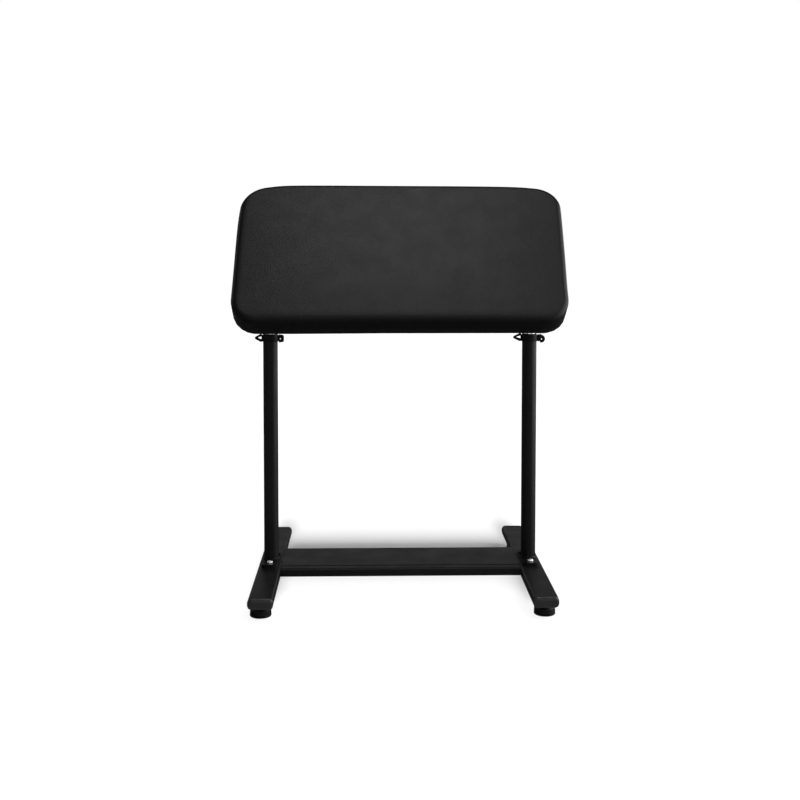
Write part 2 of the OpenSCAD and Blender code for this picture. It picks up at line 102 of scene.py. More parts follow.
# ------------------------------------------------------------------ material helpers
class Mat:
    """A principled material with a few procedural helpers. Coordinates are the piece's own, in metres."""

    def __init__(self, name, rough=0.5, metallic=0.0, spec=0.5, color=(0.5, 0.5, 0.5)):
        self.m = bpy.data.materials.new(name)
        self.m.use_nodes = True
        self.nt = self.m.node_tree
        self.nt.nodes.clear()
        self.out = self.nt.nodes.new("ShaderNodeOutputMaterial")
        self.p = self.nt.nodes.new("ShaderNodeBsdfPrincipled")
        self.nt.links.new(self.p.outputs[0], self.out.inputs[0])
        self.p.inputs["Base Color"].default_value = (*color, 1)
        self.p.inputs["Roughness"].default_value = rough
        self.p.inputs["Metallic"].default_value = metallic
        self.p.inputs["Specular IOR Level"].default_value = spec
        self.coord = self.nt.nodes.new("ShaderNodeTexCoord")
        self.heights = []

    def set(self, name, value):
        self.p.inputs[name].default_value = value
        return self

    def node(self, kind, **attrs):
        n = self.nt.nodes.new(kind)
        for k, v in attrs.items():
            setattr(n, k, v)
        return n

    def link(self, a, b):
        self.nt.links.new(a, b)

    def space(self, rotation=(0, 0, 0), scale=(1, 1, 1), location=(0, 0, 0)):
        mp = self.node("ShaderNodeMapping")
        mp.inputs["Rotation"].default_value = rotation
        mp.inputs["Scale"].default_value = scale
        mp.inputs["Location"].default_value = location
        self.link(self.coord.outputs["Object"], mp.inputs["Vector"])
        return mp.outputs["Vector"]

    def noise(self, scale, detail=2.0, rough=0.5, vec=None, distortion=0.0):
        n = self.node("ShaderNodeTexNoise")
        n.inputs["Scale"].default_value = scale
        n.inputs["Detail"].default_value = detail
        n.inputs["Roughness"].default_value = rough
        n.inputs["Distortion"].default_value = distortion
        self.link(vec or self.coord.outputs["Object"], n.inputs["Vector"])
        return n.outputs["Fac"]

    def voronoi(self, scale, feature="F1", vec=None, randomness=1.0, out="Distance"):
        n = self.node("ShaderNodeTexVoronoi", feature=feature)
        n.inputs["Scale"].default_value = scale
        n.inputs["Randomness"].default_value = randomness
        self.link(vec or self.coord.outputs["Object"], n.inputs["Vector"])
        return n.outputs[out]

    def wave(self, scale, direction="X", vec=None, distortion=0.0, detail=2.0, kind="BANDS", profile="SIN"):
        n = self.node("ShaderNodeTexWave", wave_type=kind, wave_profile=profile)
        if kind == "BANDS":
            n.bands_direction = direction
        else:
            n.rings_direction = direction
        n.inputs["Scale"].default_value = scale
        n.inputs["Distortion"].default_value = distortion
        n.inputs["Detail"].default_value = detail
        self.link(vec or self.coord.outputs["Object"], n.inputs["Vector"])
        return n.outputs["Fac"]

    def ramp(self, fac, stops):
        r = self.node("ShaderNodeValToRGB")
        el = r.color_ramp.elements
        while len(el) < len(stops):
            el.new(0.5)
        for e, (pos, col) in zip(el, stops):
            e.position = pos
            e.color = (*col, 1) if len(col) == 3 else col
        self.link(fac, r.inputs["Fac"])
        return r.outputs["Color"]

    def range(self, fac, lo, hi, f0=0.0, f1=1.0):
        r = self.node("ShaderNodeMapRange")
        r.inputs["From Min"].default_value = f0
        r.inputs["From Max"].default_value = f1
        r.inputs["To Min"].default_value = lo
        r.inputs["To Max"].default_value = hi
        self.link(fac, r.inputs["Value"])
        return r.outputs["Result"]

    def math(self, op, a, b):
        n = self.node("ShaderNodeMath", operation=op)
        for i, x in enumerate((a, b)):
            if isinstance(x, (int, float)):
                n.inputs[i].default_value = x
            else:
                self.link(x, n.inputs[i])
        return n.outputs[0]

    def color_from(self, fac, stops):
        self.link(self.ramp(fac, stops), self.p.inputs["Base Color"])
        return self

    def rough_from(self, fac, lo, hi, f0=0.3, f1=0.7):
        self.link(self.range(fac, lo, hi, f0, f1), self.p.inputs["Roughness"])
        return self

    def bump(self, height, distance, strength=1.0):
        b = self.node("ShaderNodeBump")
        b.inputs["Strength"].default_value = strength
        b.inputs["Distance"].default_value = distance
        self.link(height, b.inputs["Height"])
        if self.heights:
            self.link(self.heights[-1], b.inputs["Normal"])
        self.heights.append(b.outputs["Normal"])
        return self

    def done(self):
        if self.heights:
            self.link(self.heights[-1], self.p.inputs["Normal"])
        return self.m


# ------------------------------------------------------------------ materials
def make_powder():
    m = Mat("powder_coat_black", spec=0.42)
    m.color_from(m.noise(7, 3), [(0.3, (0.0048, 0.0048, 0.0050)), (0.7, (0.0064, 0.0064, 0.0066))])
    m.rough_from(m.noise(22, 4), 0.36, 0.46)
    m.bump(m.noise(900, 2, 0.55), 0.00010, 0.55)       # orange peel
    m.bump(m.noise(160, 2), 0.00012, 0.35)
    return m.done()


def make_plastic(name, lo, hi, r0, r1, spec=0.4):
    m = Mat(name, spec=spec)
    m.color_from(m.noise(40, 3), [(0.3, lo), (0.7, hi)])
    m.rough_from(m.noise(60, 3), r0, r1)
    m.bump(m.voronoi(1500), 0.00007, 0.5)              # moulded grain
    m.bump(m.noise(240, 2), 0.00008, 0.4)
    return m.done()


def make_metal(name, lo, hi, r0, r1, scale=60, stretch=(1, 1, 1), bump=0.00004):
    m = Mat(name, metallic=1.0)
    m.color_from(m.noise(scale * 0.5, 3), [(0.3, lo), (0.7, hi)])
    m.rough_from(m.noise(scale, 4, vec=m.space(scale=stretch)), r0, r1)
    m.bump(m.noise(scale * 14, 2, vec=m.space(scale=stretch)), bump, 0.35)
    return m.done()


def make_vinyl():
    m = Mat("vinyl_black", spec=0.475)
    v = m.space(rotation=(-TILT, 0, 0))                # the pad's own directions
    m.color_from(m.noise(9, 4, vec=v), [(0.25, (0.0022, 0.0022, 0.0023)), (0.75, (0.0030, 0.0030, 0.0031))])
    grain = m.voronoi(620, vec=v)
    m.rough_from(m.noise(26, 5, vec=v), 0.455, 0.505)
    m.bump(m.noise(16, 3, 0.5, vec=v), 0.00011, 0.5)   # soft mottling of the stretched skin
    m.bump(m.noise(300, 3, vec=v), 0.00018, 0.5)
    m.bump(grain, 0.00025, 0.5)                        # pebble grain
    return m.done()


def make_dust_cloth():
    m = Mat("dust_cloth_black", spec=0.2, rough=0.9)
    v = m.space(rotation=(-TILT, 0, 0))
    a, b = m.wave(260, "X", v, 0.6), m.wave(260, "Y", v, 0.6)
    m.color_from(m.noise(500, 3, vec=v), [(0.3, (0.008, 0.008, 0.0085)), (0.7, (0.019, 0.019, 0.02))])
    m.bump(m.math("MULTIPLY", a, b), 0.0003, 0.7)
    m.bump(m.noise(700, 2, vec=v), 0.0002, 0.5)
    m.set("Sheen Weight", 0.15)
    return m.done()


def make_plywood():
    m = Mat("plywood", spec=0.3, rough=0.7)
    v = m.space(rotation=(-TILT, 0, 0))
    w = m.wave(14, "Y", v, 6.0, 3.0)
    m.color_from(w, [(0.0, (0.36, 0.23, 0.12)), (0.6, (0.5, 0.34, 0.19)), (1.0, (0.58, 0.42, 0.25))])
    ply = m.wave(70, "Z", v, 0.2)
    m.bump(ply, 0.0002, 0.4)
    m.bump(m.noise(300, 4, vec=m.space(rotation=(-TILT, 0, 0), scale=(0.08, 1, 1))), 0.0002, 0.5)
    return m.done()


def make_foam():
    m = Mat("foam", spec=0.2, rough=0.95)
    m.color_from(m.noise(200, 3), [(0.3, (0.6, 0.55, 0.36)), (0.7, (0.7, 0.65, 0.45))])
    m.bump(m.voronoi(900), 0.0006, 0.8)
    return m.done()


MATS = {
    "powder_coat": make_powder(),
    "black_oxide": make_metal("black_oxide", (0.012, 0.012, 0.013), (0.02, 0.02, 0.021), 0.34, 0.46),
    "black_plastic": make_plastic("moulded_black", (0.0050, 0.0050, 0.0052), (0.0075, 0.0075, 0.0078), 0.42, 0.52, 0.40),
    "cap_plastic": make_plastic("cap_plastic_black", (0.019, 0.019, 0.0192), (0.025, 0.025, 0.0252), 0.28, 0.36, 0.80),
    "clamp_black": make_plastic("clamp_paint_black", (0.0035, 0.0035, 0.0037), (0.0055, 0.0055, 0.0058), 0.42, 0.52, 0.22),
    "nylon_black": make_plastic("nylon_black", (0.008, 0.008, 0.008), (0.012, 0.012, 0.012), 0.45, 0.55),
    "nylon_natural": make_plastic("nylon_natural", (0.62, 0.6, 0.52), (0.7, 0.68, 0.6), 0.45, 0.55),
    "chrome": make_metal("chrome", (0.70, 0.71, 0.73), (0.78, 0.79, 0.80), 0.05, 0.13, 90, (1, 1, 0.2), 0.00001),
    "zinc_steel": make_metal("zinc_plated", (0.44, 0.45, 0.47), (0.58, 0.59, 0.60), 0.26, 0.42, 120),
    "head_alloy": make_metal("cast_alloy", (0.42, 0.43, 0.44), (0.54, 0.55, 0.56), 0.38, 0.52, 70, (1, 1, 1), 0.00015),
    "fibre": make_plastic("fibre", (0.16, 0.1, 0.05), (0.24, 0.16, 0.09), 0.7, 0.85, 0.25),
    "brass": make_metal("brass", (0.6, 0.42, 0.16), (0.72, 0.52, 0.22), 0.25, 0.4, 90),
    "plywood": make_plywood(),
    "foam": make_foam(),
    "vinyl": make_vinyl(),
    "dust_cloth": make_dust_cloth(),
}

slot_of = {s["node"]: s["material_slot"] for s in frame["record"]["subparts"]}
for name, obj in nodes.items():
    obj.data.materials.clear()
    obj.data.materials.append(MATS[slot_of[name]])


# ------------------------------------------------------------------ mesh helpers
def piece(name, verts, faces, slot, body, smooth=True, matrix=None):
    me = bpy.data.meshes.new(name)
    if matrix is not None:
        verts = [matrix @ Vector(v) for v in verts]
    me.from_pydata([tuple(v) for v in verts], [], faces)
    me.validate()
    me.update()
    if smooth:
        me.shade_smooth()
    me.materials.append(MATS[slot])
    ob = bpy.data.objects.new(name, me)
    scene.collection.objects.link(ob)
    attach(ob, body)
    return ob


def apply_modifiers(ob):
    dg = bpy.context.evaluated_depsgraph_get()
    ev = ob.evaluated_get(dg)
    me = bpy.data.meshes.new_from_object(ev, preserve_all_data_layers=True, depsgraph=dg)
    old = ob.data
    ob.modifiers.clear()
    ob.data = me
    bpy.data.meshes.remove(old)
    return ob


def merge(parts):
    """Joins (verts, faces) lists into one."""
    vs, fs = [], []
    for v, f in parts:
        n = len(vs)
        vs += list(v)
        fs += [tuple(i + n for i in q) for q in f]
    return vs, fs


def place(part, matrix):
    return [matrix @ Vector(v) for v in part[0]], part[1]


def lathe(profile, n=64, lobes=None):
    """Turns (r, z) points about Z. Points at r = 0 become poles. lobes(angle, r, z) may change r."""
    vs, fs, rings = [], [], []
    for r, z in profile:
        if r < 1e-9:
            rings.append([len(vs)])
            vs.append(Vector((0, 0, z)))
        else:
            ring = []
            for i in range(n):
                a = 2 * math.pi * i / n
                rr = lobes(a, r, z) if lobes else r
                ring.append(len(vs))
                vs.append(Vector((rr * math.cos(a), rr * math.sin(a), z)))
            rings.append(ring)
    for a, b in zip(rings, rings[1:]):
        if len(a) == 1 and len(b) == 1:
            continue
        for i in range(n):
            j = (i + 1) % n
            if len(a) == 1:
                fs.append((a[0], b[j], b[i]))
            elif len(b) == 1:
                fs.append((a[i], a[j], b[0]))
            else:
                fs.append((a[i], a[j], b[j], b[i]))
    return vs, fs


def sweep(points, ra, rb, n=20, normal=Vector((0, 1, 0)), section=2.0):
    """Closed ring along points in the XZ plane; ra is the half width in the plane, rb across it."""
    m = len(points)
    vs, fs = [], []
    for i, p in enumerate(points):
        t = (points[(i + 1) % m] - points[i - 1]).normalized()
        side = t.cross(normal).normalized()
        for k in range(n):
            a = 2 * math.pi * k / n
            c, s = math.cos(a), math.sin(a)
            c = math.copysign(abs(c) ** (2 / section), c)
            s = math.copysign(abs(s) ** (2 / section), s)
            vs.append(p + side * (ra * c) + normal * (rb * s))
    for i in range(m):
        j = (i + 1) % m
        for k in range(n):
            l = (k + 1) % n
            fs.append((i * n + k, i * n + l, j * n + l, j * n + k))
    return vs, fs


def slab_sheet(w, d, r, nx, ny, table, flip=False):
    """One sheet of a slab with round corners. table is [(plan distance from the corner centre, z)], from
    the flat middle outwards over the edge. Returns verts, faces, and the outer rim's indices in order."""
    ns = len(table) - 1
    nx_t, ny_t = nx + 2 * ns, ny + 2 * ns
    hx, hy = w / 2 - r, d / 2 - r
    vs, idx = [], {}
    for I in range(nx_t + 1):
        for J in range(ny_t + 1):
            i, sx, x = (ns - I, -1, -hx) if I < ns else (I - ns - nx, 1, hx) if I > ns + nx else (0, 1, -hx + 2 * hx * (I - ns) / nx)
            j, sy, y = (ns - J, -1, -hy) if J < ns else (J - ns - ny, 1, hy) if J > ns + ny else (0, 1, -hy + 2 * hy * (J - ns) / ny)
            m = max(i, j)
            q, z = table[m]
            if m == 0:
                px, py = x, y
            elif j == 0:
                px, py = x + sx * q, y
            elif i == 0:
                px, py = x, y + sy * q
            else:
                a = math.pi / 4 * (j / i) if i >= j else math.pi / 2 - math.pi / 4 * (i / j)
                px, py = x + sx * q * math.cos(a), y + sy * q * math.sin(a)
            idx[I, J] = len(vs)
            vs.append(Vector((px, py, z)))
    fs = []
    for I in range(nx_t):
        for J in range(ny_t):
            f = (idx[I, J], idx[I + 1, J], idx[I + 1, J + 1], idx[I, J + 1])
            fs.append(f[::-1] if flip else f)
    rim = ([idx[I, 0] for I in range(nx_t)] + [idx[nx_t, J] for J in range(ny_t)]
           + [idx[I, ny_t] for I in range(nx_t, 0, -1)] + [idx[0, J] for J in range(ny_t, 0, -1)])
    return vs, fs, rim


def closed_slab(w, d, r, nx, ny, top, bottom):
    """Two sheets that share their rim. Both tables have the same length and the same last point."""
    va, fa, ra = slab_sheet(w, d, r, nx, ny, top)
    vb, fb, rb = slab_sheet(w, d, r, nx, ny, bottom, flip=True)
    same = dict(zip(rb, ra))
    vs, new = list(va), {}
    for k, v in enumerate(vb):
        if k in same:
            new[k] = same[k]
        else:
            new[k] = len(vs)
            vs.append(v)
    return vs, list(fa) + [tuple(new[k] for k in f) for f in fb], len(va)


def arc(cx, cz, rx, rz, a0, a1, n, first=False):
    """Points on an ellipse from angle a0 to a1 in degrees; the first one is left out unless asked."""
    return [(cx + rx * math.cos(math.radians(a)), cz + rz * math.sin(math.radians(a)))
            for a in [a0 + (a1 - a0) * k / n for k in range(0 if first else 1, n + 1)]]


def line(p, q, n):
    return [(p[0] + (q[0] - p[0]) * k / n, p[1] + (q[1] - p[1]) * k / n) for k in range(1, n + 1)]


# ------------------------------------------------------------------ the pad
def make_pad():
    """The stuffed vinyl cover: face, rolled edge, side, and the hem turned under the board."""
    R = 0.046
    EDGE = 0.0095
    w, d, t = PAD_W, PAD_D, PAD_T - 0.0062
    top = [(0, t)] + line((0, t), (R - EDGE, t), 5) + arc(R - EDGE, t - EDGE, EDGE, EDGE, 90, 0, 8) \
        + line((R, t - EDGE), (R, 0.003), 7)
    hem = R - 0.024
    bot = [(0, 0.0015)] + line((0, 0.0015), (hem - 0.001, 0.0015), 5) + [(hem, 0.0013), (hem + 0.0006, 0.0002)] \
        + line((hem + 0.0006, 0.0), (R - 0.003, 0.0), 7) + arc(R - 0.003, 0.003, 0.003, 0.003, -90, 0, 6)
    assert len(top) == len(bot), (len(top), len(bot))
    vs, fs, n_top = closed_slab(w, d, R, 80, 30, top, bot)
    vs = [v + Vector((0, 0, PAD_UNDER)) for v in vs]
    ob = piece("pad_upholstery", vs, fs, "vinyl", "pad")

    rest = np.array([v.co for v in ob.data.vertices], float)
    # the skin is held down to the board and blown up by the foam behind it
    pin = ob.vertex_groups.new(name="held")
    for k, v in enumerate(rest):
        hold = min(1.0, max(0.0, (PAD_UNDER + 0.020 - v[2]) / 0.010))
        if hold > 0:
            pin.add([k], hold, "REPLACE")
    cl = ob.modifiers.new("cloth", "CLOTH")
    cl.settings.quality = 6
    cl.settings.mass = 0.35
    cl.settings.tension_stiffness = cl.settings.compression_stiffness = 60
    cl.settings.shear_stiffness = 30
    cl.settings.bending_stiffness = 2.0
    cl.settings.use_pressure = True
    cl.settings.uniform_pressure_force = 5.0
    cl.settings.effector_weights.gravity = 0
    cl.settings.vertex_group_mass = "held"
    cl.collision_settings.use_collision = False
    cl.point_cache.frame_start, cl.point_cache.frame_end = 1, 20
    for f in range(1, 21):
        scene.frame_set(f)
    dg = bpy.context.evaluated_depsgraph_get()
    me = ob.evaluated_get(dg).to_mesh()
    moved = np.array([v.co for v in me.vertices], float)
    ob.evaluated_get(dg).to_mesh_clear()
    ob.modifiers.clear()
    ob.vertex_groups.clear()
    scene.frame_set(1)
    step = moved - rest
    far = np.linalg.norm(step, axis=1)
    step *= min(1.0, 0.0012 / float(far.max()))
    step[:, :2] *= 0.35                  # the foam's sides are cut square and stand firm
    rest = rest + step
    print("pad cloth: moved", round(float(far.max()) * 1000, 2), "mm at most")
    ob.data.vertices.foreach_set("co", rest.ravel())
    ob.data.update()

    sub = ob.modifiers.new("sub", "SUBSURF")
    sub.levels = sub.render_levels = 1
    apply_modifiers(ob)

    me = ob.data
    co = np.array([v.co for v in me.vertices], float)
    nm = np.array([v.normal for v in me.vertices], float)
    hx, hy = PAD_W / 2 - R, PAD_D / 2 - R
    for k in range(len(co)):
        x, y, z = co[k]
        h = z - PAD_UNDER
        # gathers of the skin round the four corners, strongest where it turns under
        qx, qy = abs(x) - hx, abs(y) - hy
        if qx > 0 and qy > 0:
            a = math.atan2(qy, qx)
            rad = math.hypot(qx, qy)
            away = math.sin(min(1.0, max(0.0, a / (math.pi / 2))) * math.pi)
            low = max(0.0, 1 - h / 0.006)
            inner = min(1.0, max(0.0, (rad - 0.032) / 0.012))
            seed = (3.1 if x > 0 else 0.4) + (1.7 if y > 0 else 0.0)
            fold = math.sin(a * 22 + seed + 0.8 * math.sin(a * 5 + seed))
            co[k] += nm[k] * (0.0004 * fold * away * low * inner)
        # slack of the skin: long, shallow waves
        if h > 0.012:
            p = Vector((x, y, z))
            wave = noise.noise(p * 9.0 + Vector((3.2, 1.1, 0))) * 0.6 + noise.noise(p * 24.0) * 0.25
            co[k] += nm[k] * (0.00022 * wave)
    # crowned foam: a little lower all round than in the middle
    u = np.clip(np.abs(co[:, 0]) / (PAD_W / 2), 0, 1)
    v = np.clip(np.abs(co[:, 1]) / (PAD_D / 2), 0, 1)
    lift = np.clip((co[:, 2] - PAD_UNDER - 0.03) / 0.02, 0, 1)
    co[:, 2] += 0.0012 * (1 - u ** 4) * (1 - v ** 3) * lift
    # along the front it swells forward over the board
    side = np.clip(co[:, 0] / (PAD_W / 2), -1, 1)
    rise = np.clip((co[:, 2] - PAD_UNDER - 0.002) / 0.026, 0, 1)
    fore = np.clip(-co[:, 1] / (PAD_D / 2), 0, 1) ** 6
    co[:, 2] -= 0.0022 * np.clip(1 - (co[:, 1] + PAD_D / 2) / 0.018, 0, 1) ** 2 * lift
    co[:, 2] -= 0.0030 * np.clip(1 - (co[:, 0] + PAD_W / 2) / 0.016, 0, 1) ** 2 * lift
    co[:, 1] -= (0.0042 - 0.0006 * np.clip(-side, 0, 1)) * fore * rise ** 2 * (3 - 2 * rise)
    co[:, 1] -= 0.0010 * fore * np.clip((-side - 0.1) / 0.5, 0, 1)
    # the rear corners are pulled in, the left one more
    up = np.clip((co[:, 2] - PAD_UNDER - 0.002) / 0.02, 0, 1)
    for cx, cy, amount, wide, inward in ((-PAD_W / 2, PAD_D / 2, 0.0088, 0.058, (0.62, -0.78, 0)),
                                         (-PAD_W / 2, PAD_D / 2, 0.0026, 0.030, (0.70, -0.70, 0)),
                                         (-PAD_W / 2 + 0.042, PAD_D / 2, 0.0022, 0.024, (0, -1, 0)),
                                         (PAD_W / 2, PAD_D / 2, 0.0048, 0.072, (-0.30, -0.90, 0)),
                                         (PAD_W / 2, PAD_D / 2, 0.0016, 0.030, (-0.70, -0.70, 0)),
                                         (PAD_W / 2 - 0.038, PAD_D / 2, 0.0016, 0.024, (0, -1, 0))):
        dist = np.hypot(co[:, 0] - cx, co[:, 1] - cy)
        co += (amount * np.exp(-(dist / wide) ** 2) * up)[:, None] * np.array(inward)
    # and the right front one is stuffed out
    dist = np.hypot(co[:, 0] - PAD_W / 2, co[:, 1] + PAD_D / 2)
    co += (0.0034 * np.exp(-(dist / 0.045) ** 2))[:, None] * np.array((0.58, -0.45, 0))
    # as it was upholstered: a touch out of square
    side = np.clip(co[:, 0] / (PAD_W / 2), -1, 1)
    rear = np.clip(co[:, 1] / (PAD_D / 2), -1, 1)
    co[:, 1] -= 0.0016 * side * np.clip(rear, 0, 1)
    co[:, 0] *= 1 + 0.0014 * rear
    co[:, 0] += (0.0007 * np.clip(-side, 0, 1) ** 3 + 0.0008 * np.clip(side, 0, 1) ** 3) * (1 - rear ** 2)
    co[:, 0] += 0.00255 * rear - 0.00215
    co[:, 1] -= PAD_FWD
    me.vertices.foreach_set("co", co.ravel())
    me.transform(PAD_M)
    me.update()
    me.shade_smooth()
    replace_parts(ob, "pad_cover", "pad_foam")
    return ob


def make_board():
    """Plywood board inside the cover, its arrises broken."""
    r = 0.0520
    t = 0.012
    top = [(0, t)] + line((0, t), (r - 0.001, t), 3) + arc(r - 0.001, t - 0.001, 0.001, 0.001, 90, 0, 3) + [(r, 0.006)]
    bot = [(0, 0)] + line((0, 0), (r - 0.001, 0), 3) + arc(r - 0.001, 0.001, 0.001, 0.001, -90, 0, 3) + [(r, 0.006)]
    vs, fs, _ = closed_slab(0.583, 0.281, r, 40, 16, top, bot)
    ob = piece("pad_plywood_board", [v + Vector((-0.0022, -PAD_FWD, PAD_UNDER + 0.0016)) for v in vs], fs,
               "plywood", "pad", smooth=False, matrix=PAD_M)
    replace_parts(ob, "pad_board")
    return ob


def make_dust_sheet():
    """Woven dust cloth stapled under the board, with its edge folded in once."""
    W, D, R = 0.5410, 0.2385, 0.0215
    top = [(0, 0.0)] + line((0, 0), (R - 0.0130, 0), 3) + [(R - 0.0120, 0.0), (R - 0.0115, -0.0004)] \
        + line((R - 0.0115, -0.0005), (R - 0.0008, -0.0005), 5) + [(R, -0.0003)]
    vs, fs, _ = slab_sheet(W, D, R, 110, 44, top)
    out = []
    for v in vs:
        x, y = v.x, v.y
        edge = min(W / 2 - abs(x), D / 2 - abs(y))
        # slack between the tilt brackets, pulled tight under them
        tight = min(1.0, abs(abs(x) - PX) / 0.07)
        mid = max(0.0, min(1.0, edge / 0.05)) * tight
        z = v.z - 0.0012 * mid - 0.0005 * mid * noise.noise(Vector((x * 14, y * 20, 2.0)))
        # small puckers that run in from each staple
        near = math.exp(-edge / 0.016)
        along = x if D / 2 - abs(y) < W / 2 - abs(x) else y
        z -= 0.00035 * near * (0.5 + 0.5 * math.cos(2 * math.pi * along / (0.033 if along is x else 0.027)))
        out.append(Vector((x, y, z)))
    ob = piece("dust_cloth", [v + Vector((-0.0022, -PAD_FWD, PAD_UNDER + 0.00105)) for v in out], fs, "dust_cloth", "pad",
               matrix=PAD_M)
    sol = ob.modifiers.new("cloth", "SOLIDIFY")
    sol.thickness = 0.0004
    sol.offset = -1
    apply_modifiers(ob)
    ob.data.shade_smooth()
    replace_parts(ob, "dust_cover")
    return ob


pad = make_pad()
make_board()
make_dust_sheet()


# ------------------------------------------------------------------ hardware
def thread(r, pitch, depth):
    """lobes() for lathe: a screw thread on everything close to radius r."""
    def f(a, rr, z):
        if abs(rr - r) > 1e-5:
            return rr
        k = (z / pitch - a / (2 * math.pi)) % 1.0
        return r - depth * min(1.0, 2.4 * abs(k - 0.5))
    return f


def steps(z0, z1, pitch, per=6):
    n = max(2, int(round((z1 - z0) / pitch * per)))
    return [z0 + (z1 - z0) * k / n for k in range(n + 1)]


def hull_outline(circles, centre, n):
    """Polar outline, about centre, of the hull of circles given as (u, v, r)."""
    pts = []
    for k in range(720):
        a = 2 * math.pi * k / 720
        c, s = math.cos(a), math.sin(a)
        u, v, r = max(circles, key=lambda q: q[0] * c + q[1] * s + q[2])
        pts.append((u + r * c, v + r * s))
    dense = []
    for p, q in zip(pts, pts[1:] + pts[:1]):
        m = max(1, int(math.hypot(q[0] - p[0], q[1] - p[1]) / 0.0001))
        dense += [(p[0] + (q[0] - p[0]) * i / m, p[1] + (q[1] - p[1]) * i / m) for i in range(m)]
    ang = np.array([math.atan2(v - centre[1], u - centre[0]) for u, v in dense])
    rad = np.array([math.hypot(u - centre[0], v - centre[1]) for u, v in dense])
    order = np.argsort(ang)
    grid = [-math.pi + 2 * math.pi * k / n for k in range(n)]
    rr = np.interp(grid, ang[order], rad[order], period=2 * math.pi)
    return [(centre[0] + r * math.cos(a), centre[1] + r * math.sin(a)) for a, r in zip(grid, rr)]


def ring_between(outer, inner, half, n=14, section=2.6):
    """A flat ring in the XZ plane between two outlines, rounded in section. half is its half thickness in Y."""
    m = len(outer)
    vs, fs = [], []
    for (ou, ov), (iu, iv) in zip(outer, inner):
        c = Vector(((ou + iu) / 2, 0, (ov + iv) / 2))
        e = Vector(((ou - iu) / 2, 0, (ov - iv) / 2))
        for k in range(n):
            a = 2 * math.pi * k / n
            ca, sa = math.cos(a), math.sin(a)
            ca = math.copysign(abs(ca) ** (2 / section), ca)
            sa = math.copysign(abs(sa) ** (2 / section), sa)
            vs.append(c + e * ca + Vector((0, half * sa, 0)))
    for i in range(m):
        j = (i + 1) % m
        for k in range(n):
            l = (k + 1) % n
            fs.append((i * n + k, i * n + l, j * n + l, j * n + k))
    return vs, fs


TO_X = Matrix.Rotation(math.radians(90), 4, "Y")      # local Z becomes +X


def recalc(ob):
    import bmesh
    bm = bmesh.new()
    bm.from_mesh(ob.data)
    bmesh.ops.recalc_face_normals(bm, faces=bm.faces)
    bm.to_mesh(ob.data)
    bm.free()
    return ob


def clamp_screw(name, body, side_x, sign, kind, stand_off=0.0, tip=0.0258, lift=0.0,
                eye=((0.0222, 0.0030, 0.0030), (0.0218, -0.0044, 0.0032)), hole=(0.0184, -0.0014, 0.0009)):
    """One clamp screw. sign is the way it points along X; kind is the finger grip on it. tip is how far the
    loop reaches and lift how far it sits up; eye and hole are circles (along, up, radius)."""
    mm = 0.001
    M = Matrix.Translation((side_x, PY, CLAMP_Z)) @ Matrix.Scale(sign, 4, (1, 0, 0))
    shank_end = 16.0 * mm if kind == "loop" else 16.2 * mm + stand_off
    prof = [(0, 0.01200 + 0.0003), (0.0034, 0.0123)]
    prof += [(0.004, z) for z in steps(0.0129, shank_end, 0.00125)] + [(0, shank_end)]
    parts = [place(lathe(prof, 28, thread(0.004, 0.00125, 0.00045)), TO_X)]
    if kind == "loop":
        # boss against the collar, then a triangular loop that narrows to a point
        boss = [(0, 0.0152), (0.0050, 0.0152), (0.0052, 0.0155), (0.0050, 0.0159), (0.0030, 0.0161), (0, 0.0161)]
        parts.append(place(lathe(boss, 40), TO_X))
        outer = hull_outline([(0.0172, lift + 0.0054, 0.0022), (0.0172, lift - 0.0054, 0.0022), (tip, lift, 0.0030)],
                             (0.0195, lift), 88)
        up = lift + 0.0003
        inner = hull_outline([(0.0172, up + 0.0015, 0.0008), (0.0172, up - 0.0015, 0.0008), (tip - 0.0042, up, 0.0006)],
                             (0.0195, up), 88)
        parts.append(ring_between(outer, inner, 0.0022))
    else:
        s = stand_off
        boss = [(0, 0.0152 + s), (0.0050, 0.0152 + s), (0.0057, 0.0157 + s), (0.0057, 0.0163 + s), (0.0049, 0.0169 + s), (0, 0.0170 + s)]
        parts.append(place(lathe(boss, 40), TO_X))
        outer = hull_outline([*eye, (0.0162 + s, 0.0058, 0.0012), (0.0162 + s, -0.0070, 0.0012)], hole[:2], 88)
        inner = hull_outline([hole], hole[:2], 88)
        outer = [(max(u, 0.0155 + s), v) for u, v in outer]
        parts.append(ring_between(outer, inner, 0.0024))
    vs, fs = merge(parts)
    ob = piece(name, vs, fs, "clamp_black", body, matrix=M)
    return recalc(ob)


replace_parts(clamp_screw("left_clamp_loop", "left_loop_clamp", -PX, -1, "loop", lift=0.0004), "left_loop_clamp_screw")
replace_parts(clamp_screw("left_clamp_eye", "left_eye_clamp", -PX, 1, "eye"), "left_eye_clamp_screw")
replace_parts(clamp_screw("right_clamp_loop", "right_loop_clamp", PX, -1, "loop", tip=0.0271, lift=0.0011), "right_loop_clamp_screw")
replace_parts(clamp_screw("right_clamp_eye", "right_eye_clamp", PX, 1, "eye", 0.0045,
                        eye=((0.0222, -0.0020, 0.0073),), hole=(0.0226, -0.0026, 0.0012)),
            "right_eye_clamp_screw")


